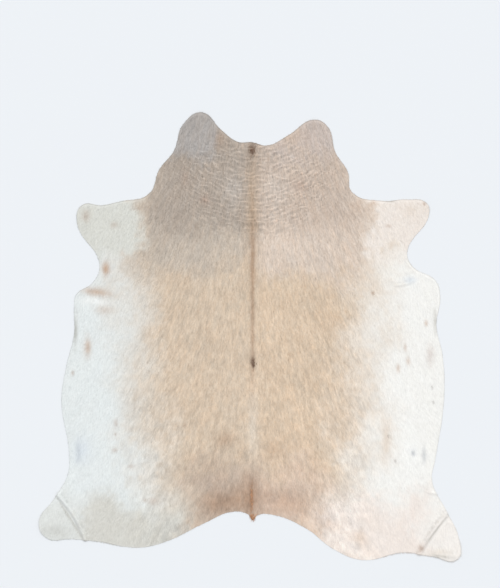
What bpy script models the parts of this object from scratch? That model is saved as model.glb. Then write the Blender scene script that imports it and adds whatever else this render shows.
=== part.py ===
"""A cowhide rug: one tanned, hair-on skin, lying flat with its hair up and its neck towards +Y.

The skin is one sheet. Its outline is a smooth closed curve through landmarks, given in pairs, left and
right of the middle line. A constrained triangulation fills the outline along the neck's growth wrinkles, the
creases and an even lattice, the creases lift it, and Solidify gives it the thickness of its leather and its
lying coat.

Metres, +Z up. The origin is under the middle of the rug's box, on the surface that it lies on.
"""

from collections import namedtuple

import bpy
import numpy as np
from mathutils import Vector
from mathutils.geometry import delaunay_2d_cdt

Landmark = namedtuple("Landmark", "name left left_along right right_along")
Crease = namedtuple("Crease", "name across along to_across to_along bow height half_width")
Swell = namedtuple("Swell", "name across along height radius")

# Thickness of the tanned leather, and of the hair that lies on its back.
LEATHER = 0.0015
COAT = 0.0030

# The hair is short at the cut edge: this share of COAT is left there, and all of it is there this far in.
EDGE_SHARE = 0.3
EDGE_WIDTH = 0.014

# The back has the full coat and the belly this share of it, between these distances from the spine.
SPINE = 0.014
BELLY_SHARE = 0.6
BACK_WIDTH, BELLY_WIDTH = 0.42, 0.90

# The outline's landmarks, from the neck to the tail: how far out of the middle line each lies, left and
# right, and where along it.
LANDMARKS = (
    Landmark("nape", 0.059, 0.971, 0.086, 0.953),
    Landmark("cheek slope", 0.144, 1.032, 0.196, 1.006),
    Landmark("cheek tip", 0.241, 1.118, 0.319, 1.081),
    Landmark("cheek corner", 0.331, 1.061, 0.386, 1.051),
    Landmark("throat", 0.379, 0.926, 0.428, 0.919),
    Landmark("neck side", 0.451, 0.834, 0.490, 0.819),
    Landmark("neck root", 0.504, 0.711, 0.510, 0.721),
    Landmark("shank front", 0.644, 0.674, 0.666, 0.676),
    Landmark("shank front middle", 0.739, 0.654, 0.786, 0.683),
    Landmark("shank corner", 0.839, 0.654, 0.881, 0.667),
    Landmark("shank end", 0.862, 0.569, 0.896, 0.616),
    Landmark("elbow", 0.750, 0.354, 0.786, 0.416),
    Landmark("belly front", 0.781, 0.272, 0.811, 0.351),
    Landmark("belly corner", 0.869, 0.204, 0.931, 0.274),
    Landmark("belly start", 0.877, 0.144, 0.951, 0.199),
    Landmark("belly dip", 0.877, 0.014, 0.932, 0.054),
    Landmark("belly upper", 0.916, -0.151, 0.963, -0.096),
    Landmark("belly", 0.940, -0.321, 0.970, -0.316),
    Landmark("flank", 0.902, -0.586, 0.927, -0.614),
    Landmark("flank hollow", 0.909, -0.691, 0.910, -0.719),
    Landmark("hock", 0.979, -0.814, 0.981, -0.871),
    Landmark("hind end front", 1.053, -0.931, 1.045, -1.014),
    Landmark("hind end back", 1.014, -1.006, 1.035, -1.112),
    Landmark("hind back", 0.889, -1.012, 0.916, -1.100),
    Landmark("hind dip", 0.754, -1.025, 0.771, -1.079),
    Landmark("thigh", 0.559, -1.055, 0.566, -1.117),
    Landmark("thigh inner", 0.419, -1.025, 0.421, -1.064),
    Landmark("seat slope", 0.229, -0.934, 0.281, -0.959),
    Landmark("seat", 0.079, -0.875, 0.101, -0.889),
    Landmark("tail side", 0.009, -0.889, 0.041, -0.893),
)
NAPE_MIDDLE = (0.011, 0.969)
TAIL_POINT = (0.015, -0.916)
CURVE_STEPS = 4  # chords between two landmarks

# Creases: the leather stands up in a soft ridge, hollow under it. Each runs from one place to another, bowed
# to the left of that way.
CREASES = (
    Crease("left hind crease", -0.975, -0.775, -0.815, -1.035, 0.022, 0.011, 0.017),
    Crease("right hind crease", 1.003, -0.866, 0.842, -1.098, -0.012, 0.010, 0.016),
    Crease("right flank tuck", 0.936, -0.786, 0.862, -0.762, 0.004, 0.005, 0.012),
    Crease("right elbow crease", 0.842, 0.298, 0.693, 0.262, 0.018, 0.005, 0.013),
)
CREASE_STEP = 0.022
CREST_SAMPLES = 200
CREASE_FADE = 0.045  # length over which a crease dies out where it ends on the skin

# Edges that don't lie quite flat.
SWELLS = (
    Swell("left hind end", -1.045, -0.965, 0.006, 0.110),
    Swell("right hind end", 1.050, -1.090, 0.006, 0.110),
    Swell("left fore shank end", -0.880, 0.600, 0.004, 0.090),
    Swell("right fore shank end", 0.900, 0.650, 0.004, 0.090),
    Swell("left cheek", -0.245, 1.135, 0.004, 0.090),
    Swell("right cheek", 0.325, 1.100, 0.004, 0.090),
)

# Growth wrinkles across the neck: arcs that hang towards the spine, as ripples of the hair side.
WRINKLE_PITCH = 0.022
WRINKLE_DEPTH = 0.0012
WRINKLE_BEND = 1.0  # an arc rises by this times its distance from the spine, squared
WRINKLE_STEP = 0.040
WRINKLE_FROM, WRINKLE_TO = 0.48, 0.93  # where the lowest and the highest arc meet the spine
WRINKLE_MIDDLE = (0.014, 0.760)
WRINKLE_REACH = (0.520, 0.330)
WRINKLE_FADE = 0.5  # share of that reach over which they die out
WRINKLE_LENGTH = 0.130  # from one deep stretch of a wrinkle to the next
WRINKLE_STAGGER = 0.38  # shift of the deep stretches from wrinkle to wrinkle, as a share of that length
WRINKLE_SHALLOW = 0.2  # depth between the deep stretches, as a share of WRINKLE_DEPTH

LATTICE = 0.060
RIM_CLEARANCE = 0.010  # a wrinkle's points stay this far inside the inner ring
INNER_RING_SHARE = 0.9  # a point of the inner ring is kept if it is this share of EDGE_WIDTH from the edge
WELD = 1e-5

COAT_COLOR = (0.730, 0.632, 0.527, 1.0)
COAT_ROUGHNESS = 0.85


def clear_scene():
    for obj in list(bpy.data.objects):
        bpy.data.objects.remove(obj)


def outline_points():
    """The cut edge as a ring of points: a closed Bezier curve through the landmarks, centred on its box."""
    right = [(mark.right, mark.right_along) for mark in LANDMARKS]
    left = [(-mark.left, mark.left_along) for mark in reversed(LANDMARKS)]
    places = [NAPE_MIDDLE] + right + [TAIL_POINT] + left
    curve = bpy.data.curves.new("outline", "CURVE")
    curve.dimensions = "2D"
    curve.fill_mode = "NONE"
    curve.resolution_u = CURVE_STEPS
    spline = curve.splines.new("BEZIER")
    spline.use_cyclic_u = True
    spline.bezier_points.add(len(places) - 1)
    for point, (across, along) in zip(spline.bezier_points, places):
        point.co = (across, along, 0.0)
        handle = "VECTOR" if (across, along) == TAIL_POINT else "AUTO"
        point.handle_left_type = handle
        point.handle_right_type = handle
    guide = bpy.data.objects.new("outline", curve)
    bpy.context.scene.collection.objects.link(guide)
    graph = bpy.context.evaluated_depsgraph_get()
    mesh = bpy.data.meshes.new_from_object(guide.evaluated_get(graph))
    ring = np.array([vertex.co[:2] for vertex in mesh.vertices])
    bpy.data.objects.remove(guide)
    bpy.data.meshes.remove(mesh)
    return ring - (ring.min(axis=0) + ring.max(axis=0)) / 2


def edge_distance(points, ring):
    """Distance of each point to the ring, positive inside it."""
    start, end = ring, np.roll(ring, -1, axis=0)
    run = end - start
    offset = points[:, None] - start
    share = np.clip((offset * run).sum(axis=2) / (run**2).sum(axis=1), 0, 1)
    gap = np.linalg.norm(offset - share[..., None] * run, axis=2).min(axis=1)
    spans = (start[:, 1] > points[:, None, 1]) != (end[:, 1] > points[:, None, 1])
    rise = np.where(run[:, 1] == 0, 1, run[:, 1])
    crossing = start[:, 0] + offset[..., 1] * run[:, 0] / rise > points[:, None, 0]
    inside = (spans & crossing).sum(axis=1) % 2 == 1
    return np.where(inside, gap, -gap)


def crease_line(crease, steps):
    """Points along a crease's crest and its unit direction there: a chord bowed to its left as a parabola."""
    start = np.array((crease.across, crease.along))
    chord = np.array((crease.to_across, crease.to_along)) - start
    side = np.array((-chord[1], chord[0])) / np.linalg.norm(chord)
    t = np.linspace(0, 1, steps)[:, None]
    crest = start + chord * t + side * 4 * crease.bow * t * (1 - t)
    direction = chord + side * 4 * crease.bow * (1 - 2 * t)
    return crest, direction / np.linalg.norm(direction, axis=1, keepdims=True)


def crease_rails(crease):
    """Five lines along a crease: its crest, its two feet and halfway up each side."""
    length = np.hypot(crease.to_across - crease.across, crease.to_along - crease.along)
    crest, direction = crease_line(crease, round(length / CREASE_STEP) + 1)
    side = np.stack((-direction[:, 1], direction[:, 0]), axis=1)
    return [crest + side * crease.half_width * share for share in (-1, -0.5, 0, 0.5, 1)]


def wrinkle_lines():
    """Crests and troughs of the neck's wrinkles by turns, each an arc across the neck."""
    across = np.arange(-WRINKLE_REACH[0], WRINKLE_REACH[0] + WRINKLE_STEP / 2, WRINKLE_STEP)
    starts = np.arange(WRINKLE_FROM, WRINKLE_TO, WRINKLE_PITCH / 2)
    return [
        np.stack((SPINE + across, start + WRINKLE_BEND * across**2), axis=1)
        for start in starts
    ]


def kept_runs(line, keep):
    """The stretches of a line whose points are kept."""
    cuts = np.flatnonzero(np.diff(keep.astype(int))) + 1
    return [run for run, ok in zip(np.split(line, cuts), np.split(keep, cuts)) if ok[0]]


def near_crease(points):
    """Whether each point is so near a crease that the crease's own rails serve it."""
    near = np.zeros(len(points), bool)
    for crease in CREASES:
        crest, _ = crease_line(crease, CREST_SAMPLES)
        gap = np.linalg.norm(points[:, None] - crest, axis=2).min(axis=1)
        near |= gap < 2 * crease.half_width
    return near


def in_neck(points):
    """Whether each point lies where the wrinkle arcs run."""
    rise = WRINKLE_BEND * (points[:, 0] - SPINE) ** 2
    start = points[:, 1] - rise
    wide = np.abs(points[:, 0] - SPINE) < WRINKLE_REACH[0] + LATTICE / 2
    return wide & (start > WRINKLE_FROM - LATTICE / 2) & (start < WRINKLE_TO + LATTICE / 4)


def lattice_points(ring):
    """An even lattice, every second row shifted by half a step, where nothing finer is needed."""
    low, high = ring.min(axis=0), ring.max(axis=0)
    columns = np.arange(low[0], high[0], LATTICE)
    rows = np.arange(low[1], high[1], LATTICE * np.sqrt(3) / 2)
    across, along = np.meshgrid(columns, rows)
    across[1::2] += LATTICE / 2
    points = np.stack((across.ravel(), along.ravel()), axis=1)
    room = edge_distance(points, ring) > EDGE_WIDTH + LATTICE / 4
    return points[room & ~near_crease(points) & ~in_neck(points)]


def inner_ring(ring):
    """The ring moved in by EDGE_WIDTH, where the coat reaches its full depth."""
    run = np.roll(ring, -1, axis=0) - np.roll(ring, 1, axis=0)
    inward = np.stack((run[:, 1], -run[:, 0]), axis=1) / np.linalg.norm(run, axis=1, keepdims=True)
    moved = ring + inward * EDGE_WIDTH
    room = edge_distance(moved, ring) > EDGE_WIDTH * INNER_RING_SHARE
    return moved[room & ~near_crease(moved)]


def triangulated(ring):
    """The skin as flat triangles inside the ring, with edges along every wrinkle and crease."""
    points = [ring]
    count = len(ring)
    edges = [np.stack((np.arange(count), (np.arange(count) + 1) % count), axis=1)]
    lines = [run for crease in CREASES for run in crease_rails(crease)]
    for line in wrinkle_lines():
        lines += kept_runs(line, edge_distance(line, ring) > EDGE_WIDTH + RIM_CLEARANCE)
    for line in lines:
        steps = np.arange(count, count + len(line) - 1)
        edges.append(np.stack((steps, steps + 1), axis=1))
        points.append(line)
        count += len(line)
    points += [inner_ring(ring), lattice_points(ring)]
    flat = [Vector(point) for point in np.concatenate(points)]
    outline = [list(range(len(ring)))]
    result = delaunay_2d_cdt(flat, np.concatenate(edges).tolist(), outline, 1, WELD)
    return np.array([vertex[:] for vertex in result[0]]), result[2]


def smooth_step(share):
    share = np.clip(share, 0, 1)
    return share * share * (3 - 2 * share)


def crease_height(points, crease, ring):
    """Height of a crease: a raised cosine across its crest, dying out at an end that lies on the skin."""
    crest, direction = crease_line(crease, CREST_SAMPLES)
    offset = points[:, None] - crest
    nearest = np.linalg.norm(offset, axis=2).argmin(axis=1)
    own = offset[np.arange(len(points)), nearest]
    way = direction[nearest]
    sideways = np.abs(own[:, 0] * way[:, 1] - own[:, 1] * way[:, 0])
    beyond = np.abs((own * way).sum(axis=1))
    step = np.linalg.norm(np.diff(crest, axis=0), axis=1).sum() / (len(crest) - 1)
    to_ends = np.stack((nearest, len(crest) - 1 - nearest), axis=1) * step
    open_end = edge_distance(crest[[0, -1]], ring) > crease.half_width
    fade = np.where(open_end, smooth_step(to_ends / CREASE_FADE), 1).min(axis=1)
    bump = np.cos(np.clip(sideways / crease.half_width, 0, 1) * np.pi / 2) ** 2
    return crease.height * bump * fade * (beyond < crease.half_width)


def lift(points, ring):
    """Height of the skin's underside over the floor: nothing, but at the creases and the swelling edges."""
    height = np.zeros(len(points))
    for crease in CREASES:
        height = np.maximum(height, crease_height(points, crease, ring))
    for swell in SWELLS:
        far = np.linalg.norm(points - (swell.across, swell.along), axis=1)
        height += swell.height * smooth_step(1 - far / swell.radius)
    return height


def wrinkle_height(points):
    """Ripple of the hair side: a cosine across the arcs, deep and shallow by turns along each, faded to 0."""
    rise = WRINKLE_BEND * (points[:, 0] - SPINE) ** 2
    count = (points[:, 1] - rise - WRINKLE_FROM) / WRINKLE_PITCH
    along_arc = points[:, 0] / WRINKLE_LENGTH + count * WRINKLE_STAGGER
    deep = (1 + np.cos(2 * np.pi * along_arc)) / 2
    reach = np.linalg.norm((points - WRINKLE_MIDDLE) / WRINKLE_REACH, axis=1)
    depth = WRINKLE_DEPTH * (WRINKLE_SHALLOW + (1 - WRINKLE_SHALLOW) * deep)
    return depth / 2 * np.cos(2 * np.pi * count) * smooth_step((1 - reach) / WRINKLE_FADE)


def thickness(points, ring):
    """Leather and coat: thinner on the belly and at the cut edge, rippled by the wrinkles on the neck."""
    depth = edge_distance(points, ring)
    edge = EDGE_SHARE + (1 - EDGE_SHARE) * smooth_step(depth / EDGE_WIDTH)
    out = (np.abs(points[:, 0] - SPINE) - BACK_WIDTH) / (BELLY_WIDTH - BACK_WIDTH)
    belly = 1 - (1 - BELLY_SHARE) * smooth_step(out)
    return LEATHER + COAT * edge * belly + wrinkle_height(points) * smooth_step(depth / EDGE_WIDTH)


def principled(name, color, roughness):
    material = bpy.data.materials.new(name)
    material.use_nodes = True
    shader = material.node_tree.nodes["Principled BSDF"]
    shader.inputs["Base Color"].default_value = color
    shader.inputs["Roughness"].default_value = roughness
    shader.inputs["Metallic"].default_value = 0.0
    return material


def make_hide(collection):
    ring = outline_points()
    points, faces = triangulated(ring)
    heights = lift(points, ring)
    mesh = bpy.data.meshes.new("hide")
    mesh.from_pydata(np.column_stack((points, heights)).tolist(), [], faces)
    hide = bpy.data.objects.new("hide", mesh)
    collection.objects.link(hide)

    depth = thickness(points, ring)
    group = hide.vertex_groups.new(name="thickness")
    for index, weight in enumerate(depth / depth.max()):
        group.add([index], weight, "REPLACE")
    solid = hide.modifiers.new("leather and coat", "SOLIDIFY")
    solid.thickness = depth.max()
    solid.offset = 1.0
    solid.vertex_group = group.name
    mesh.materials.append(principled("hair-on leather", COAT_COLOR, COAT_ROUGHNESS))
    mesh.shade_smooth()
    return hide


clear_scene()
rug = bpy.data.collections.new("cowhide")
bpy.context.scene.collection.children.link(rug)
make_hide(rug)
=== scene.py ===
"""The looks of a hair-on cowhide rug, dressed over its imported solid."""

import bpy
import numpy as np
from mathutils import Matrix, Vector
from mathutils.geometry import delaunay_2d_cdt


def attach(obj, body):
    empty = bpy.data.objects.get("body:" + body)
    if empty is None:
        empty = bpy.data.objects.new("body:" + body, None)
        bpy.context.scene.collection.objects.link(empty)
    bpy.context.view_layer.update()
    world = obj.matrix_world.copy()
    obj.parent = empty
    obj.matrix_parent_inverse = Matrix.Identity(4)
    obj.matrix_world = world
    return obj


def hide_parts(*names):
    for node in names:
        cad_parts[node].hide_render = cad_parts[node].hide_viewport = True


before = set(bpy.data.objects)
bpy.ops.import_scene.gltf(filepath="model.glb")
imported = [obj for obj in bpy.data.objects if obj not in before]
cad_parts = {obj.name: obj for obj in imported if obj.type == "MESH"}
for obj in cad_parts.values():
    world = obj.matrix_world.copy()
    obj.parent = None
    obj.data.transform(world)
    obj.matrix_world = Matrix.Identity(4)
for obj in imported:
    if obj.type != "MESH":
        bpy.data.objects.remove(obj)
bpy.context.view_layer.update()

scene = bpy.context.scene

# The floor that the rug lies on: a plain, pale, matt surface, wide enough to fill every view. It isn't part
# of the rug, so it is not attached to the rug's body.
FLOOR_SIZE = 120.0
FLOOR_COLOR = "#E8EBEE"


def as_linear(code):
    """An sRGB hex colour as linear red, green and blue."""
    share = np.array([int(code[i:i + 2], 16) for i in (1, 3, 5)]) / 255
    return np.where(share <= 0.04045, share / 12.92, ((share + 0.055) / 1.055) ** 2.4)


def node(tree, kind, inputs, **settings):
    """Adds a node with its settings. Each input is a value, or another node's output, which is linked."""
    made = tree.nodes.new(kind)
    for key, value in settings.items():
        setattr(made, key, value)
    for key, value in inputs.items():
        if isinstance(value, bpy.types.NodeSocket):
            tree.links.new(value, made.inputs[key])
        else:
            made.inputs[key].default_value = value
    return made


def new_material(name):
    """A new material with its node tree, its Principled shader and its Object coordinates."""
    material = bpy.data.materials.new(name)
    material.use_nodes = True
    tree = material.node_tree
    place = tree.nodes.new("ShaderNodeTexCoord").outputs["Object"]
    return material, tree, tree.nodes["Principled BSDF"], place


def new_object(name, points, faces, materials):
    """A mesh object at the origin, with its place in its points."""
    mesh = bpy.data.meshes.new(name)
    mesh.from_pydata(np.asarray(points).tolist(), [], np.asarray(faces).tolist())
    made = bpy.data.objects.new(name, mesh)
    scene.collection.objects.link(made)
    for material in materials:
        mesh.materials.append(material)
    return made


# Painted board: the eye gets an even, matt, nearly white field.
painted_board, tree, shader, _ = new_material("painted_board")
shader.inputs["Base Color"].default_value = (*as_linear(FLOOR_COLOR), 1.0)
shader.inputs["Roughness"].default_value = 0.9
half = FLOOR_SIZE / 2
floor = new_object(
    "floor",
    [(-half, -half, 0), (half, -half, 0), (half, half, 0), (-half, half, 0)],
    [(0, 1, 2, 3)],
    [painted_board],
)

# The skin: one tanned cow skin with its hair on, cut round by hand with a knife and laid hair up. The leather
# is 1.5 mm thick with a suede flesh side, and the dense hair over it lies flat, short at the cut edge.

# Landmarks of the cut edge from the neck to the tail, in metres: how far out of the middle line each lies on
# the left and where along it, then the same on the right.
LANDMARKS = (
    (0.059, 0.971, 0.086, 0.953),  # nape
    (0.144, 1.032, 0.196, 1.006),  # cheek slope
    (0.241, 1.118, 0.319, 1.081),  # cheek tip
    (0.331, 1.061, 0.386, 1.051),  # cheek corner
    (0.379, 0.926, 0.428, 0.919),  # throat
    (0.451, 0.834, 0.490, 0.819),  # neck side
    (0.504, 0.711, 0.510, 0.721),  # neck root
    (0.644, 0.674, 0.666, 0.676),  # shank front
    (0.739, 0.654, 0.786, 0.683),  # shank front middle
    (0.839, 0.654, 0.881, 0.667),  # shank corner
    (0.862, 0.569, 0.896, 0.616),  # shank end
    (0.750, 0.354, 0.786, 0.416),  # elbow
    (0.781, 0.272, 0.811, 0.351),  # belly front
    (0.869, 0.204, 0.931, 0.274),  # belly corner
    (0.877, 0.144, 0.951, 0.199),  # belly start
    (0.877, 0.014, 0.932, 0.054),  # belly dip
    (0.916, -0.151, 0.963, -0.096),  # belly upper
    (0.940, -0.321, 0.970, -0.316),  # belly
    (0.902, -0.586, 0.927, -0.614),  # flank
    (0.909, -0.691, 0.910, -0.719),  # flank hollow
    (0.979, -0.814, 0.981, -0.871),  # hock
    (1.053, -0.931, 1.045, -1.014),  # hind end front
    (1.014, -1.006, 1.035, -1.112),  # hind end back
    (0.889, -1.012, 0.916, -1.100),  # hind back
    (0.754, -1.025, 0.771, -1.079),  # hind dip
    (0.559, -1.055, 0.566, -1.117),  # thigh
    (0.419, -1.025, 0.421, -1.064),  # thigh inner
    (0.229, -0.934, 0.281, -0.959),  # seat slope
    (0.079, -0.875, 0.101, -0.889),  # seat
    (0.009, -0.889, 0.041, -0.893),  # tail side
)
NAPE_MIDDLE = (0.011, 0.969)
TAIL_POINT = (0.015, -0.916)
CURVE_STEPS = 16

# Creases, in metres: across, along, to across, to along, bow to the left, height, half width.
CREASES = (
    (-0.975, -0.775, -0.815, -1.035, 0.022, 0.011, 0.017),  # left hind
    (1.003, -0.866, 0.842, -1.098, -0.012, 0.010, 0.016),  # right hind
    (0.936, -0.786, 0.862, -0.762, 0.004, 0.005, 0.012),  # right flank
    (0.842, 0.298, 0.693, 0.262, 0.018, 0.005, 0.013),  # right elbow
)
CREASE_FADE = 0.045  # length over which a crease dies out where it ends on the skin
CREST_SAMPLES = 200

# Ends that don't lie quite flat: across, along, height, radius.
SWELLS = (
    (-1.045, -0.965, 0.006, 0.110),  # left hind
    (1.050, -1.090, 0.006, 0.110),  # right hind
    (-0.880, 0.600, 0.004, 0.090),  # left fore shank
    (0.900, 0.650, 0.004, 0.090),  # right fore shank
    (-0.245, 1.135, 0.004, 0.090),  # left cheek
    (0.325, 1.100, 0.004, 0.090),  # right cheek
)

SPINE = 0.014  # the spine lies this far right of the middle of the box
LEATHER, COAT = 0.0015, 0.0022  # the locks of the coat lie on top of this
EDGE_SHARE, EDGE_WIDTH = 0.3, 0.014  # the share of the coat left at the cut edge, and how far in all is there
BELLY_SHARE = 0.6  # share of the coat that grows on the belly
BACK_WIDTH, BELLY_WIDTH = 0.42, 0.90  # the back ends, and the belly begins, this far from the spine

# Noise is given as rows of strength, size of its cells across and along in metres, and seed. The skin was
# stretched by hand, so its thickness wanders by half a millimetre.
UNEVEN = ((0.0005, (0.09, 0.09), 9),)

# Growth wrinkles of the neck: arcs that hang towards the spine, broken into staggered stretches.
WRINKLE_PITCH, WRINKLE_BEND, WRINKLE_DEPTH = 0.0215, 1.0, 0.0022
WRINKLE_LENGTH, WRINKLE_STAGGER, WRINKLE_SHALLOW = 0.085, 0.38, 0.1
WRINKLE_FROM = 0.48
WRINKLE_STRAY = ((0.55, (0.050, 0.030), 5), (0.25, (0.018, 0.018), 6))  # in pitches
WRINKLE_MIDDLE, WRINKLE_REACH, WRINKLE_FADE = (0.014, 0.760), (0.520, 0.330), 0.5

TOP_STEP, UNDER_STEP = 0.0078, 0.012  # sides of the triangles on the hair side and on the flesh side
EDGE_RINGS = (0.004, 0.009)  # the hair side's mesh follows the cut edge this far inside it
RING_ROOM = 0.8  # a ring's point is kept if it is at least this share of that distance inside the edge
WELD = 1e-6  # points nearer than this are one
HOLLOW_SHARE = 0.6  # the flesh side rises this much of a crease, and the leather is bunched thick in the rest
EDGE_MAP_STEP, EDGE_MAP_MARGIN = 0.010, 0.05
CHUNK = 4000  # points whose distance to the edge is worked out at a time
NOISE_TABLE = 127  # noise repeats after this many cells


def cut_edge():
    """The cut edge as a ring of points: a closed Bezier curve through the landmarks, centred on its box."""
    right = [(row[2], row[3]) for row in LANDMARKS]
    left = [(-row[0], row[1]) for row in reversed(LANDMARKS)]
    places = [NAPE_MIDDLE] + right + [TAIL_POINT] + left
    curve = bpy.data.curves.new("outline", "CURVE")
    curve.dimensions = "2D"
    curve.fill_mode = "NONE"
    curve.resolution_u = CURVE_STEPS
    spline = curve.splines.new("BEZIER")
    spline.use_cyclic_u = True
    spline.bezier_points.add(len(places) - 1)
    for point, (across, along) in zip(spline.bezier_points, places):
        point.co = (across, along, 0.0)
        handle = "VECTOR" if (across, along) == TAIL_POINT else "AUTO"
        point.handle_left_type = handle
        point.handle_right_type = handle
    guide = bpy.data.objects.new("outline", curve)
    scene.collection.objects.link(guide)
    graph = bpy.context.evaluated_depsgraph_get()
    mesh = bpy.data.meshes.new_from_object(guide.evaluated_get(graph))
    ring = np.array([vertex.co[:2] for vertex in mesh.vertices])
    bpy.data.objects.remove(guide)
    bpy.data.meshes.remove(mesh)
    return ring - (ring.min(axis=0) + ring.max(axis=0)) / 2


def gap_to_edge(points):
    """Distance of each point to the cut edge, the least of those to its straight stretches. It is positive
    inside, where a line from the point to the right crosses the edge an odd number of times."""
    start, end = ring, np.roll(ring, -1, axis=0)
    run = end - start
    offset = points[:, None] - start
    share = np.clip((offset * run).sum(axis=2) / (run**2).sum(axis=1), 0, 1)
    gap = np.linalg.norm(offset - share[..., None] * run, axis=2).min(axis=1)
    spans = (start[:, 1] > points[:, None, 1]) != (end[:, 1] > points[:, None, 1])
    rise = np.where(run[:, 1] == 0, 1, run[:, 1])
    crossing = start[:, 0] + offset[..., 1] * run[:, 0] / rise > points[:, None, 0]
    inside = (spans & crossing).sum(axis=1) % 2 == 1
    return np.where(inside, gap, -gap)


def edge_depth(points):
    """How far inside the cut edge each point lies, read between the four nearest places of an even map."""
    place = (points - map_low) / EDGE_MAP_STEP
    cell = np.clip(np.floor(place).astype(int), 0, np.array(edge_map.shape) - 2)
    share = place - cell
    i, j = cell.T
    low = edge_map[i, j] * (1 - share[:, 0]) + edge_map[i + 1, j] * share[:, 0]
    high = edge_map[i, j + 1] * (1 - share[:, 0]) + edge_map[i + 1, j + 1] * share[:, 0]
    return low * (1 - share[:, 1]) + high * share[:, 1]


def smooth_step(share):
    """0 below 0 and 1 above 1, with a smooth S between."""
    share = np.clip(share, 0, 1)
    return share * share * (3 - 2 * share)


def wander(points, cell, seed):
    """Soft noise from -1 to 1: random values on a lattice of cells, blended smoothly between its corners."""
    table = np.random.default_rng(seed).uniform(-1, 1, (NOISE_TABLE, NOISE_TABLE))
    place = points / np.asarray(cell)
    corner = np.floor(place).astype(int)
    share = smooth_step(place - corner)
    i, j = (corner % NOISE_TABLE).T
    k, m = (i + 1) % NOISE_TABLE, (j + 1) % NOISE_TABLE
    low = table[i, j] * (1 - share[:, 0]) + table[k, j] * share[:, 0]
    high = table[i, m] * (1 - share[:, 0]) + table[k, m] * share[:, 0]
    return low * (1 - share[:, 1]) + high * share[:, 1]


def wanders(points, rows):
    """The sum of some rows of noise."""
    return sum(strength * wander(points, cell, seed) for strength, cell, seed in rows)


def crease_height(points, crease):
    """Height of a crease: a raised cosine across its crest, dying out at an end that lies on the skin. The
    crest is a parabola from its start to its end, which passes the chord's middle at the distance bow."""
    across, along, to_across, to_along, bow, height, half_width = crease
    start = np.array((across, along))
    chord = np.array((to_across, to_along)) - start
    side = np.array((-chord[1], chord[0])) / np.linalg.norm(chord)
    t = np.linspace(0, 1, CREST_SAMPLES)[:, None]
    crest = start + chord * t + side * 4 * bow * t * (1 - t)
    way = chord + side * 4 * bow * (1 - 2 * t)
    way /= np.linalg.norm(way, axis=1, keepdims=True)
    raised = np.zeros(len(points))
    low, high = crest.min(axis=0) - 2 * half_width, crest.max(axis=0) + 2 * half_width
    near = np.flatnonzero(((points > low) & (points < high)).all(axis=1))
    offset = points[near][:, None] - crest
    nearest = np.linalg.norm(offset, axis=2).argmin(axis=1)
    own = offset[np.arange(len(near)), nearest]
    sideways = np.abs(own[:, 0] * way[nearest, 1] - own[:, 1] * way[nearest, 0])
    beyond = np.abs((own * way[nearest]).sum(axis=1))
    step = np.linalg.norm(chord) / (CREST_SAMPLES - 1)
    to_ends = np.stack((nearest, CREST_SAMPLES - 1 - nearest), axis=1) * step
    open_end = gap_to_edge(crest[[0, -1]]) > half_width
    fade = np.where(open_end, smooth_step(to_ends / CREASE_FADE), 1).min(axis=1)
    bump = np.cos(np.clip(sideways / half_width, 0, 1) * np.pi / 2) ** 2
    raised[near] = height * bump * fade * (beyond < half_width)
    return raised


def lift(points, hollow=1.0):
    """Height of the flesh side over the floor: nothing, but at the creases, of which it takes the share
    hollow, and at the swelling ends, each a smooth step of the distance from its middle."""
    height = np.zeros(len(points))
    for crease in CREASES:
        height = np.maximum(height, hollow * crease_height(points, crease))
    for across, along, rise, radius in SWELLS:
        far = np.linalg.norm(points - (across, along), axis=1)
        height += rise * smooth_step(1 - far / radius)
    return height


def wrinkle(points):
    """The neck's wrinkles, -1 in a trough and 1 on a crest: a cosine across the arcs, deep by turns along."""
    rise = WRINKLE_BEND * (points[:, 0] - SPINE) ** 2
    count = (points[:, 1] - rise - WRINKLE_FROM) / WRINKLE_PITCH + wanders(points, WRINKLE_STRAY)
    along_arc = points[:, 0] / WRINKLE_LENGTH + np.round(count) * WRINKLE_STAGGER
    deep = WRINKLE_SHALLOW + (1 - WRINKLE_SHALLOW) * (1 + np.cos(2 * np.pi * along_arc)) / 2
    reach = np.linalg.norm((points - WRINKLE_MIDDLE) / WRINKLE_REACH, axis=1)
    return deep * np.cos(2 * np.pi * count) * smooth_step((1 - reach) / WRINKLE_FADE)


def hair_side(points):
    """Height of the hair side: the lift, the leather, the coat, the wrinkles and the uneven stretching."""
    depth = edge_depth(points)
    rim = smooth_step(depth / EDGE_WIDTH)
    out = (np.abs(points[:, 0] - SPINE) - BACK_WIDTH) / (BELLY_WIDTH - BACK_WIDTH)
    belly = 1 - (1 - BELLY_SHARE) * smooth_step(out)
    coat = COAT * (EDGE_SHARE + (1 - EDGE_SHARE) * rim) * belly
    folds = WRINKLE_DEPTH / 2 * wrinkle(points) + wanders(points, UNEVEN)
    return lift(points) + LEATHER + coat + folds * rim


ring = cut_edge()
map_low = ring.min(axis=0) - EDGE_MAP_MARGIN
map_high = ring.max(axis=0) + EDGE_MAP_MARGIN
map_counts = np.ceil((map_high - map_low) / EDGE_MAP_STEP).astype(int) + 1
map_i, map_j = np.meshgrid(np.arange(map_counts[0]), np.arange(map_counts[1]), indexing="ij")
map_points = map_low + np.stack((map_i.ravel(), map_j.ravel()), axis=1) * EDGE_MAP_STEP
edge_map = np.concatenate(
    [gap_to_edge(map_points[k:k + CHUNK]) for k in range(0, len(map_points), CHUNK)]
).reshape(map_counts)


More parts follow.
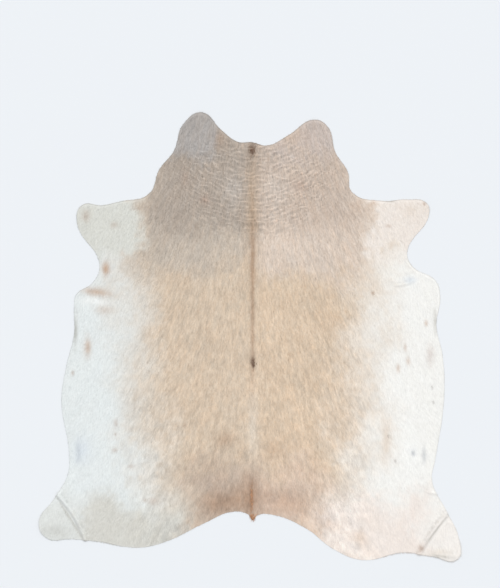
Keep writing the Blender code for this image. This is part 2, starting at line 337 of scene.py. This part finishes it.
def filled(step, rims):
    """Flat triangles inside the cut edge: the Delaunay mesh of the edge, of copies of it moved in by each of
    rims, and of an even lattice of triangles further in."""
    low, high = ring.min(axis=0), ring.max(axis=0)
    across, along = np.meshgrid(
        np.arange(low[0], high[0], step), np.arange(low[1], high[1], step * np.sqrt(3) / 2)
    )
    across[1::2] += step / 2
    lattice = np.stack((across.ravel(), along.ravel()), axis=1)
    run = np.roll(ring, -1, axis=0) - np.roll(ring, 1, axis=0)
    inward = np.stack((run[:, 1], -run[:, 0]), axis=1) / np.linalg.norm(run, axis=1, keepdims=True)
    points = [ring, lattice[edge_depth(lattice) > max((0, *rims)) + step / 2]]
    for rim in rims:
        moved = ring + inward * rim
        points.append(moved[edge_depth(moved) > rim * RING_ROOM])
    count = len(ring)
    edges = np.stack((np.arange(count), (np.arange(count) + 1) % count), axis=1)
    flat = [Vector(point) for point in np.concatenate(points).tolist()]
    result = delaunay_2d_cdt(flat, edges.tolist(), [list(range(count))], 1, WELD)
    return np.array([vertex[:] for vertex in result[0]]), np.array(result[2])


def lay_map(made, sides=1, side=0):
    """Maps each corner of a face to its place seen from above, in one of so many strips side by side."""
    corners = np.empty(len(made.data.loops), dtype=np.int32)
    made.data.loops.foreach_get("vertex_index", corners)
    points = np.empty(3 * len(made.data.vertices), dtype=np.float32)
    made.data.vertices.foreach_get("co", points)
    place = (points.reshape(-1, 3)[corners, :2] - map_low) / (map_high - map_low)
    place[:, 0] = (place[:, 0] + side) / sides
    layer = made.data.uv_layers.new(name="OFBake")
    layer.data.foreach_set("uv", place.astype(np.float32).ravel())


# Colours of the hair, as pairs for the left and the right half, which differ on this animal. They blend into
# each other across the spine.
BACK_HAIR = ("#D6C4AF", "#DAC6AF")
FLANK_HAIR = ("#E5E9E8", "#F3F2EE")
SHOULDER_HAIR = ("#C7BBAD", "#DBCCBE")
NECK_HAIR = ("#B3A79B", "#CBBBAD")
CHEEK_HAIR = ("#B1ABA6", "#C9BCB3")
SHANK_HAIR = ("#DADAD3", "#EEE6DE")
RUMP_HAIR = ("#C4B2A2", "#D8C3B2")
THIGH_HAIR = ("#D5D3CB", "#EFE5DD")
PIGMENTS_AND_SHADOW = {
    "dark brown": "#5F4636",
    "tan brown": "#A07C5F",
    "orange brown": "#B98A5C",
    "red brown": "#A98572",
    "ochre": "#B79A78",
    "tan": "#D2B79B",
    "cream": "#E3D9CB",
    "grey white": "#CFC7BF",
    "white": "#F4F5F3",
    "blue grey": "#7F8796",
    "pale blue": "#D5DDE6",
    # The colour of painted shadow, laid along creases and cut edges where shade falls.
    "painted shadow": "#8C8675",
}

# Markings of this animal, and painted shadow along the hind creases, beside them and along some cut edges,
# in millimetres: paint, across, along, half width, half length, turn, strength.
MARKINGS_AND_SHADOWS = (
    ("dark brown", 11, 934, 20, 40, 0, 0.50),  # nape tuft
    ("dark brown", -64, 1019, 140, 7, -29, 0.40),  # neck cut edge
    ("ochre", 11, 634, 35, 300, 0, 0.45),  # spine strip
    ("tan brown", 14, 109, 10, 425, 0, 0.50),  # spine line
    ("tan brown", 13, 409, 11, 140, 0, 0.35),  # spine line at the withers
    ("dark brown", 16, -126, 11, 30, 0, 0.75),  # whorl
    ("cream", 16, -456, 30, 170, 0, 0.60),  # pale stripe
    ("dark brown", 6, -816, 8, 80, 0, 0.50),  # tail line
    ("tan brown", 6, -791, 50, 125, 0, 0.45),  # tail root
    ("tan brown", -124, -826, 130, 60, 8, 0.55),  # left rump
    ("tan brown", -124, -516, 50, 40, 0, 0.30),  # left rump spot
    ("tan brown", 126, -566, 60, 50, 0, 0.22),  # right rump spot
    ("tan brown", 176, -816, 140, 65, -8, 0.32),  # right rump
    ("tan brown", 376, -926, 60, 30, -15, 0.20),  # right thigh
    ("grey white", -79, 734, 45, 75, 0, 0.45),  # left neck white
    ("grey white", 131, 719, 70, 100, 0, 0.35),  # right neck white
    ("red brown", -324, 799, 25, 40, 0, 0.15),  # left neck red
    ("red brown", -224, 684, 25, 25, 0, 0.30),  # left neck red low
    ("red brown", 251, 754, 40, 30, 0, 0.25),  # right neck red
    ("tan brown", -154, 984, 30, 50, 0, 0.25),  # left cheek tan
    ("tan", 206, 994, 55, 50, 0, 0.30),  # right cheek tan
    ("tan brown", -819, 604, 20, 30, 0, 0.35),  # left shank
    ("tan brown", -679, 559, 20, 15, 0, 0.30),  # left shank low
    ("tan brown", -569, 644, 20, 10, 0, 0.30),  # left shank inner
    ("orange brown", 536, 649, 25, 35, 0, 0.12),  # right shank inner
    ("orange brown", 616, 669, 12, 18, 0, 0.30),  # right shank middle
    ("tan", 801, 634, 45, 40, 0, 0.15),  # right shank
    ("tan brown", 871, 664, 8, 8, 0, 0.50),  # right shank dot
    ("tan brown", 691, 554, 15, 8, 0, 0.30),  # right shank low
    # Painted shadow along the right fore shank's cut edge.
    ("painted shadow", 686, 679, 40, 5, -8, 0.50),  # right shank edge
    ("tan brown", 616, 219, 8, 8, 0, 0.60),  # right shoulder dot
    ("orange brown", -719, 339, 20, 35, 0, 0.70),  # left armpit
    ("orange brown", -769, 224, 75, 20, -8, 0.50),  # left elbow band
    ("white", -774, 176, 75, 18, -5, 0.70),  # left elbow white
    ("orange brown", -729, 134, 40, 20, 0, 0.25),  # left elbow patch
    # Painted shadow just inside the left belly's cut edge.
    ("painted shadow", -871, 29, 10, 70, 0, 0.45),  # left belly edge
    ("orange brown", -809, -51, 18, 45, 0, 0.50),  # left belly spot
    ("tan brown", -884, -181, 8, 12, 0, 0.50),  # left belly dot
    ("tan brown", -669, -431, 10, 20, 0, 0.35),  # left flank dots
    ("tan brown", -674, -486, 8, 8, 0, 0.35),  # left flank dot
    ("tan brown", -674, -566, 15, 10, 0, 0.35),  # left flank low
    ("tan brown", -324, -441, 10, 10, 0, 0.30),  # left side dot
    ("tan brown", -524, -816, 10, 10, 0, 0.30),  # left thigh dot
    ("tan brown", -479, -821, 25, 20, 0, 0.30),  # left thigh
    ("tan brown", -594, -646, 20, 10, 0, 0.30),  # left thigh edge
    # Painted shadow just inside the right belly's cut edge.
    ("painted shadow", 926, 84, 8, 55, 0, 0.35),  # right belly edge
    ("orange brown", 881, 69, 8, 15, 0, 0.40),  # right belly dot
    ("orange brown", 776, -56, 8, 18, 0, 0.35),  # right side
    ("orange brown", 791, -121, 10, 20, 0, 0.35),  # right side low
    ("orange brown", 741, -156, 10, 20, 0, 0.35),  # right side inner
    ("red brown", 901, -91, 20, 50, 0, 0.25),  # right belly
    ("dark brown", 911, -251, 5, 8, 0, 0.30),  # right belly dark
    ("dark brown", 916, -326, 5, 8, 0, 0.25),  # right belly dark low
    ("tan", 681, -516, 25, 100, 0, 0.35),  # right flank column
    ("dark brown", 726, -621, 6, 8, 0, 0.30),  # right flank dark low
    ("dark brown", 691, -496, 6, 8, 0, 0.40),  # right flank dark
    ("pale blue", -839, -566, 45, 70, 0, 0.45),  # left flank thin hair
    ("blue grey", -856, -571, 11, 60, 0, 0.20),  # left flank vein
    ("white", 816, -581, 45, 80, 0, 0.40),  # right flank ring
    ("blue grey", 816, -581, 10, 15, 0, 0.40),  # right flank spot
    ("blue grey", 871, -591, 10, 40, 0, 0.30),  # right flank vein
    ("pale blue", 801, 284, 30, 18, 0, 0.50),  # right elbow thin hair
    # Painted shade on the left hind tip, on the side of the crease turned from the light.
    ("painted shadow", -969, -971, 60, 30, 0, 0.20),  # left hind tip
    ("tan brown", 856, -1056, 15, 15, 0, 0.50),  # right hind blotch
    ("tan", 551, -1001, 30, 40, 0, 0.30),  # right hind inner
    ("cream", 951, -1076, 50, 15, 0, 0.50),  # right hind low
    # Painted shadow just inside the right hind's cut edge.
    ("painted shadow", 951, -1096, 60, 6, -5, 0.35),  # right hind edge
    # Painted shade along the two hind creases.
    ("painted shadow", -904, -899, 130, 5, -58, 0.40),  # left hind crease
    ("painted shadow", 926, -971, 95, 6, 52, 0.40),  # right hind crease
)
MARKING_EDGE = ((0.3, (0.018, 0.018), 13),)  # how ragged a marking's edge is

# Zones laid over the flank's hair in this order: hair, where along the spine the zone fades in, and where
# outwards from it. The first of two numbers is where it is nothing and the second where it is whole.
BACK_EDGE = (0.80, 0.34)
WAIST_TURN, WAIST_AT = 0.12, -0.1  # the back's hair reaches this much wider per metre towards the neck
THIGH_ALONG, THIGH_OUT, THIGH_SHARE = (-0.70, -0.90), (0.18, 0.38), 0.9
SHANK_TIP, TIP_SHARE = (0.80, 0.95), 0.5  # the thigh's hair gives way by this share towards the shank's end
ZONES = (
    (RUMP_HAIR, (-0.50, -0.82), (0.42, 0.16)),
    (SHOULDER_HAIR, (0.22, 0.42), (0.70, 0.50)),
    (SHANK_HAIR, (0.38, 0.48), (0.52, 0.64)),
    (NECK_HAIR, (0.38, 0.63), (0.56, 0.44)),
    (CHEEK_HAIR, (0.88, 0.98), (0.12, 0.22)),
)
HALVES = (-0.10, 0.10)  # left hair turns into right hair between these distances from the spine
RAGGED = ((0.07, (0.12, 0.12), 11), (0.03, (0.022, 0.022), 12))  # how far a zone's edge strays

# Roan: light and dark hairs mixed in streaks, 6.5 mm by 24 mm and 11 mm by 30 mm, and in clouds of 110 mm.
STREAKS = ((0.10, (0.0065, 0.024), 14), (0.07, (0.011, 0.030), 15))
CLOUDS = ((0.035, (0.11, 0.11), 16),)
WARMTH = ((0.018, (0.02, 0.05), 17),)  # redder and yellower hairs, as a share of red and blue
PLAIN_FLANK, PLAIN_SHARE = (0.42, 0.72), 0.82  # the flank has this much less roan, and where that sets in
# Painted shade and highlight: the neck's wrinkles are coloured lighter on their crests and darker in their
# troughs, over their relief.
WRINKLE_SHADE = 0.26  # a wrinkle's crest is brighter, and its trough darker, by this share
BRIGHTEST = 0.95  # no hair gives back more of the light than this
FLOW = 0.80  # how fast the hair's way turns outwards with the distance from the spine


def fade(value, start, end):
    """0 at start and 1 at end, whichever is larger, with a smooth S between."""
    return smooth_step((value - start) / (end - start))


def coat_tone(points):
    """Linear colour of the hair: zones that fade into each other, then markings, and painted shadow along the
    hind creases and some cut edges, as soft ellipses, then the roan's noise, stretched along lines that the
    hair
    follows: x times e to the power of FLOW times y, and painted shade and highlight across the neck's
    wrinkles."""
    x, y = points[:, 0] - SPINE, points[:, 1]
    ragged = wanders(points, RAGGED)
    out, along = np.abs(x) + ragged, y + ragged
    waist = out - WAIST_TURN * (y - WAIST_AT)
    right = fade(x, *HALVES)[:, None]

    def over(below, codes, share):
        """The colour below with a pair of hair colours laid over it, by a share for each point."""
        pair = as_linear(codes[0]) * (1 - right) + as_linear(codes[1]) * right
        return below * (1 - share[:, None]) + pair * share[:, None]

    color = over(np.zeros((len(points), 3)), FLANK_HAIR, np.ones(len(points)))
    color = over(color, BACK_HAIR, fade(waist, *BACK_EDGE))
    thigh = THIGH_SHARE - TIP_SHARE * fade(out, *SHANK_TIP)
    color = over(color, THIGH_HAIR, fade(along, *THIGH_ALONG) * fade(out, *THIGH_OUT) * thigh)
    for hair, span_along, span_out in ZONES:
        color = over(color, hair, fade(along, *span_along) * fade(out, *span_out))
    stray = 1 + wanders(points, MARKING_EDGE)
    for paint, across, up, half_width, half_length, turn, strength in MARKINGS_AND_SHADOWS:
        angle = np.radians(turn)
        dx, dy = points[:, 0] - across / 1000, y - up / 1000
        u = (dx * np.cos(angle) + dy * np.sin(angle)) / (half_width / 1000)
        v = (dy * np.cos(angle) - dx * np.sin(angle)) / (half_length / 1000)
        share = strength * np.exp(-(u * u + v * v) * stray)
        color = color * (1 - share[:, None]) + as_linear(PIGMENTS_AND_SHADOW[paint]) * share[:, None]
    flow_line = np.stack((x * np.exp(FLOW * y), y), axis=1)
    roan = 1 - PLAIN_SHARE * fade(out, *PLAIN_FLANK)
    mottled = roan * (wanders(flow_line, STREAKS) + wanders(points, CLOUDS))
    tone = 1 + mottled + WRINKLE_SHADE * wrinkle(points)
    warm = 1 + (roan * wanders(flow_line, WARMTH))[:, None] * np.array((1, 0, -1))
    return np.clip(color * tone[:, None] * warm, 0, BRIGHTEST)


def set_tone(made, colors):
    """Writes a colour for each point as the attribute coat_tone."""
    layer = made.data.color_attributes.new("coat_tone", "FLOAT_COLOR", "POINT")
    solid = np.column_stack((colors, np.ones(len(colors)))).astype(np.float32)
    layer.data.foreach_set("color", solid.ravel())


# Cow hair: short, straight and glossy, left on in tanning and lying one way. The eye gets its pigment, with
# painted shade and highlight on the neck's wrinkles and painted shadow along the hind creases and some cut
# edges, fine strands and a soft satin sheen. A real hair is 0.08 mm thick, so strands are drawn this coarse
# to show.
HAIR_ACROSS, HAIR_ALONG = 0.0022, 0.020
HAIR_RELIEF = 0.0006
cow_hair, tree, shader, place = new_material("cow_hair")
tone = node(tree, "ShaderNodeAttribute", {}, attribute_name="coat_tone").outputs["Color"]
hair_scale = (1 / HAIR_ACROSS, 1 / HAIR_ALONG, 1 / HAIR_ACROSS)
strands = node(tree, "ShaderNodeMapping", {"Vector": place, "Scale": hair_scale}).outputs["Vector"]
grain = node(
    tree, "ShaderNodeTexNoise", {"Vector": strands, "Scale": 1.0, "Detail": 3.0}
).outputs["Fac"]
shades = node(
    tree, "ShaderNodeMapRange",
    {"Value": grain, "From Min": 0.3, "From Max": 0.7, "To Min": 0.93, "To Max": 1.05},
)
shaded = node(
    tree, "ShaderNodeMix", {0: 1.0, 6: tone, 7: shades.outputs["Result"]},
    data_type="RGBA", blend_type="MULTIPLY",
)
rough = node(tree, "ShaderNodeMapRange", {"Value": grain, "To Min": 0.55, "To Max": 0.80})
relief = node(tree, "ShaderNodeBump", {"Height": grain, "Strength": 0.5, "Distance": HAIR_RELIEF})
tree.links.new(shaded.outputs[2], shader.inputs["Base Color"])
tree.links.new(rough.outputs["Result"], shader.inputs["Roughness"])
tree.links.new(relief.outputs["Normal"], shader.inputs["Normal"])
shader.inputs["Specular IOR Level"].default_value = 0.25
shader.inputs["Sheen Weight"].default_value = 0.12
shader.inputs["Sheen Roughness"].default_value = 0.45

# Suede: the flesh side after shaving and buffing. The eye gets a matt, pale nap with clouds 60 mm wide. A
# real fibre of the nap is 0.1 mm thick, so it is drawn this coarse to show.
NAP_CLOUD, NAP_FIBRE, NAP_RELIEF = 0.060, 0.0015, 0.0004
suede, tree, shader, place = new_material("buffed_suede")
clouds = node(tree, "ShaderNodeTexNoise", {"Vector": place, "Scale": 1 / NAP_CLOUD, "Detail": 4.0})
nap = node(tree, "ShaderNodeTexNoise", {"Vector": place, "Scale": 1 / NAP_FIBRE, "Detail": 2.0})
mixed = node(
    tree, "ShaderNodeMix",
    {0: clouds.outputs["Fac"], 6: (*as_linear("#B9A88F"), 1.0), 7: (*as_linear("#DACDB8"), 1.0)},
    data_type="RGBA",
)
relief = node(tree, "ShaderNodeBump", {"Height": nap.outputs["Fac"], "Strength": 0.4, "Distance": NAP_RELIEF})
tree.links.new(mixed.outputs[2], shader.inputs["Base Color"])
tree.links.new(relief.outputs["Normal"], shader.inputs["Normal"])
shader.inputs["Roughness"].default_value = 0.92

# The sheet itself: the hair side, the flesh side with its faces turned over, and the cut edge between them.
# The cut edge's triangles face inwards, which is a fault: the last two corners of each belong changed over.
top_flat, top_faces = filled(TOP_STEP, EDGE_RINGS)
under_flat, under_faces = filled(UNDER_STEP, ())
top = np.column_stack((top_flat, hair_side(top_flat)))
under = np.column_stack((under_flat, lift(under_flat, HOLLOW_SHARE)))
steps = np.arange(len(ring))
ahead = (steps + 1) % len(ring)
shift = len(top)
wall = np.concatenate((
    np.stack((steps, steps + shift, ahead + shift), axis=1),
    np.stack((steps, ahead + shift, ahead), axis=1),
))
closed = np.concatenate((top_faces, under_faces[:, ::-1] + shift, wall))
hide_skin = new_object("hide_skin", np.concatenate((top, under)), closed, [cow_hair, suede])
suede_faces = np.ones(len(closed), dtype=np.int32)
suede_faces[:len(top_faces)] = 0
hide_skin.data.polygons.foreach_set("material_index", suede_faces)
hide_skin.data.shade_smooth()
lay_map(hide_skin, 2, np.repeat(suede_faces, 3))
set_tone(hide_skin, coat_tone(np.concatenate((top, under))[:, :2]))
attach(hide_skin, "root")
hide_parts("hide")

# The coat: the animal's own hair, rooted in the skin and brushed flat, from the neck to the tail and outwards
# down the flanks. Each lock is a low closed wedge of four faces along the hair's way, some 3 mm wide and
# 22 mm long, which is coarser than real locks so that it shows. The coat is made in bands across the rug.
LOCK_LENGTH, LENGTH_SPREAD = 0.022, (0.7, 1.25)
LOCK_WIDTH, WIDTH_SPREAD = 0.0032, (0.7, 1.3)
LOCK_HEIGHT, HEIGHT_SPREAD = 0.0009, (0.5, 1.2)
LOCK_TURN = 0.16  # how far locks stray from the hair's way, in radians
LOCK_AREA = 20e-6  # one lock for this much skin
LOCK_SEED = 38
RIDGE_AT = 0.4  # the ridge is highest at this share of a lock's length
ROOT_SUNK, TIP_RAISED, LOWEST = 0.0004, 0.0002, 0.0003  # roots are in the coat, tips on it, none in the floor
ROOT_INSIDE, TIP_BEYOND = 0.003, 0.002  # a lock roots this far inside the cut edge, and passes it by no more
BENT_FROM, BENT_SHARE = 0.0003, 0.35  # a lock on a crease keeps this share of its length, to follow the bend
FLANK_SHADES, BACK_SHADES, SHADES_OUT = 0.03, 0.07, 0.55  # how far locks differ on the flank and on the back
COAT_BANDS = (
    ("coat_neck", 0.42, 1.20),
    ("coat_shoulders", 0.02, 0.42),
    ("coat_back", -0.40, 0.02),
    ("coat_loins", -0.76, -0.40),
    ("coat_rump", -1.20, -0.76),
)


def unit(ways):
    """Ways of length 1: each divided by its own length."""
    return ways / np.linalg.norm(ways, axis=1, keepdims=True)


def hair_way(points):
    """Unit direction of the hair: back along the spine, turned outwards in step with the distance from it."""
    way = np.stack((FLOW * (points[:, 0] - SPINE), -np.ones(len(points))), axis=1)
    return unit(way)


def make_locks(name, roots, way, length, width, height, fall, colors):
    """Closed wedges of four faces: two root corners, a ridge over the middle and a tip that lies down, all
    set on the hair side's height. The tips hang down by fall."""
    side = np.stack((-way[:, 1], way[:, 0]), axis=1) * (width / 2)[:, None]
    tips = roots + way * length[:, None]
    ridge = roots + way * (RIDGE_AT * length)[:, None]
    flat = np.stack((roots + side, roots - side, ridge, tips), axis=1)
    heights = hair_side(flat.reshape(-1, 2)).reshape(-1, 4)
    heights[:, 0:2] -= ROOT_SUNK
    heights[:, 2] += height
    heights[:, 3] += TIP_RAISED - fall
    heights = np.maximum(heights, LOWEST)
    points = np.concatenate((flat, heights[..., None]), axis=2).reshape(-1, 3)
    wedge = np.array(((0, 1, 2), (1, 3, 2), (3, 0, 2), (0, 3, 1)))
    faces = (wedge + 4 * np.arange(len(roots))[:, None, None]).reshape(-1, 3)
    made = new_object(name, points, faces, [cow_hair])
    set_tone(made, np.repeat(colors, 4, axis=0))
    lay_map(made)
    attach(made, "root")
    return made


rng = np.random.default_rng(LOCK_SEED)
wide = ring[:, 0].max()
for name, start, end in COAT_BANDS:
    count = int(2 * wide * (end - start) / LOCK_AREA)
    roots = np.stack((rng.uniform(-wide, wide, count), rng.uniform(start, end, count)), axis=1)
    way = hair_way(roots)
    turn = rng.normal(0, LOCK_TURN, count)
    way = np.stack((
        way[:, 0] * np.cos(turn) - way[:, 1] * np.sin(turn),
        way[:, 0] * np.sin(turn) + way[:, 1] * np.cos(turn),
    ), axis=1)
    length = LOCK_LENGTH * rng.uniform(*LENGTH_SPREAD, count)
    ends = roots + way * length[:, None]
    kept = (edge_depth(roots) > ROOT_INSIDE) & (edge_depth(ends) > -TIP_BEYOND)
    roots, way, length = roots[kept], way[kept], length[kept]
    bent = np.max([crease_height(roots, crease) for crease in CREASES], axis=0) > BENT_FROM
    length[bent] *= BENT_SHARE
    spread = np.where(np.abs(roots[:, 0]) < SHADES_OUT, BACK_SHADES, FLANK_SHADES)
    shade = rng.normal(1.0, spread, len(roots))
    colors = coat_tone(roots + way * RIDGE_AT * length[:, None]) * shade[:, None]
    colors = np.clip(colors, 0, BRIGHTEST)
    width = LOCK_WIDTH * rng.uniform(*WIDTH_SPREAD, len(roots))
    height = LOCK_HEIGHT * rng.uniform(*HEIGHT_SPREAD, len(roots))
    make_locks(name, roots, way, length, width, height, 0, colors)

# The fringe: the same hair where it lies over the knife-cut edge, ragged, and longer along the lower edges of
# the hind shanks. It grows from the skin just inside the edge.
FRINGE_STEP = 0.0009  # one lock for this much of the edge
FRINGE_LENGTH, HIND_FRINGE, FRINGE_SPREAD = 0.0085, 0.0060, (0.5, 1.15)
FRINGE_WIDTH, FRINGE_HEIGHT, FRINGE_FALL = 0.0018, 0.0004, 0.0012
FRINGE_ROOT = (0.003, 0.006)  # how far inside the edge its roots lie
FRINGE_FLOW, FRINGE_TURN = 0.45, 0.22  # how far the hair's way and chance turn it from straight outwards
FRINGE_SHADE, FRINGE_SHADES = 0.93, 0.07
HIND_FROM, HIND_OUT = (-0.98, -1.04), (0.6, 0.7)  # where the longer fringe sets in, along and outwards
run = np.roll(ring, -1, axis=0) - ring
span = np.linalg.norm(run, axis=1)
reached = np.concatenate(((0,), np.cumsum(span)))
stops = np.arange(0, reached[-1], FRINGE_STEP)
at = np.minimum(np.searchsorted(reached, stops, side="right") - 1, len(ring) - 1)
share = (stops - reached[at]) / span[at]
outward = np.stack((-run[at, 1], run[at, 0]), axis=1) / span[at, None]
edge = ring[at] + run[at] * share[:, None]
roots = edge - outward * rng.uniform(*FRINGE_ROOT, len(stops))[:, None]
way = unit(outward + FRINGE_FLOW * hair_way(edge) + rng.normal(0, FRINGE_TURN, (len(stops), 2)))
hind = fade(edge[:, 1], *HIND_FROM) * fade(np.abs(edge[:, 0]), *HIND_OUT)
length = (FRINGE_LENGTH + HIND_FRINGE * hind) * rng.uniform(*FRINGE_SPREAD, len(stops))
shade = rng.normal(FRINGE_SHADE, FRINGE_SHADES, len(stops))
colors = coat_tone(edge - outward * FRINGE_ROOT[1]) * shade[:, None]
make_locks(
    "edge_fringe", roots, way, length,
    np.full(len(stops), FRINGE_WIDTH), np.full(len(stops), FRINGE_HEIGHT), FRINGE_FALL,
    np.clip(colors, 0, BRIGHTEST),
)

# The tufts: longer, darker hair of the same coat at the nape, at the whorl on the back, and along and at the
# root of the tail, which was cut off short.
TUFT_WIDTH, TUFT_HEIGHT, TUFT_SPREAD, TUFT_TURN = 0.0022, 0.0016, (0.6, 1.2), 0.25
TUFT_SHADES = (1.0, 2.2)  # a hair is from as dark as the pigment to this many times as bright
TUFT_INSIDE = 0.002
TUFT_CROWD = 0.5  # two locks in three root within this share of a tuft's half width, and of its half length

# Across, along, half width, half length, number of locks, length and pigment of each tuft.
TUFTS = (
    (0.012, 0.935, 0.016, 0.040, 90, 0.022, "dark brown"),
    (0.017, -0.126, 0.010, 0.026, 45, 0.016, "dark brown"),
    (0.010, -0.800, 0.006, 0.070, 110, 0.024, "tan brown"),
    (0.014, -0.895, 0.014, 0.016, 110, 0.022, "tan brown"),
)
tuft_roots, tuft_lengths, tuft_colors = [], [], []
for across, along, half_width, half_length, count, reach, paint in TUFTS:
    spread = rng.normal(0, TUFT_CROWD, (count, 2)) * (half_width, half_length)
    tuft_roots.append(spread + (across, along))
    tuft_lengths.append(reach * rng.uniform(*TUFT_SPREAD, count))
    tuft_colors.append(as_linear(PIGMENTS_AND_SHADOW[paint]) * rng.uniform(*TUFT_SHADES, count)[:, None])
roots, length, colors = map(np.concatenate, (tuft_roots, tuft_lengths, tuft_colors))
inside = edge_depth(roots) > TUFT_INSIDE
roots, length, colors = roots[inside], length[inside], colors[inside]
way = unit(hair_way(roots) + rng.normal(0, TUFT_TURN, roots.shape))
make_locks(
    "dark_tufts", roots, way, length,
    np.full(len(roots), TUFT_WIDTH), np.full(len(roots), TUFT_HEIGHT), 0, colors,
)

# The light and the camera: a soft lamp high over the neck end, a pale room, and a camera straight above the
# middle of the picture, which shows 2.50 m by 2.94 m of the floor.
LAMP_STRENGTH, LAMP_SOFTNESS, LAMP_TILT = 2.05, 28, (-30, 8, 0)  # softness and tilt in degrees
ROOM_COLOR = "#F6F8FB"
ROOM_STRENGTH, ROOM_SEEN = 0.54, 0.92  # the room as light, and as it looks behind the floor
VIEW_CENTRE, VIEW_LENGTH = (0.001, 0.214), 2.94
LENS, SENSOR = 50, 36  # millimetres
lamp = bpy.data.objects.new("soft_lamp", bpy.data.lights.new("soft_lamp", "SUN"))
lamp.data.energy = LAMP_STRENGTH
lamp.data.angle = np.radians(LAMP_SOFTNESS)
lamp.rotation_euler = np.radians(LAMP_TILT)
scene.collection.objects.link(lamp)
world = bpy.data.worlds.new("pale_room")
world.use_nodes = True
tree = world.node_tree
room = tree.nodes["Background"]
seen = node(tree, "ShaderNodeLightPath", {}).outputs["Is Camera Ray"]
brightness = {"Value": seen, "To Min": ROOM_STRENGTH, "To Max": ROOM_SEEN}
strength = node(tree, "ShaderNodeMapRange", brightness)
tree.links.new(strength.outputs["Result"], room.inputs["Strength"])
room.inputs["Color"].default_value = (*as_linear(ROOM_COLOR), 1.0)
scene.world = world
camera = bpy.data.objects.new("camera", bpy.data.cameras.new("camera"))
camera.data.sensor_fit = "VERTICAL"
camera.data.sensor_height = SENSOR
camera.data.lens = LENS
camera.location = (*VIEW_CENTRE, VIEW_LENGTH * LENS / SENSOR)
scene.collection.objects.link(camera)
scene.camera = camera
scene.view_settings.view_transform = "Standard"
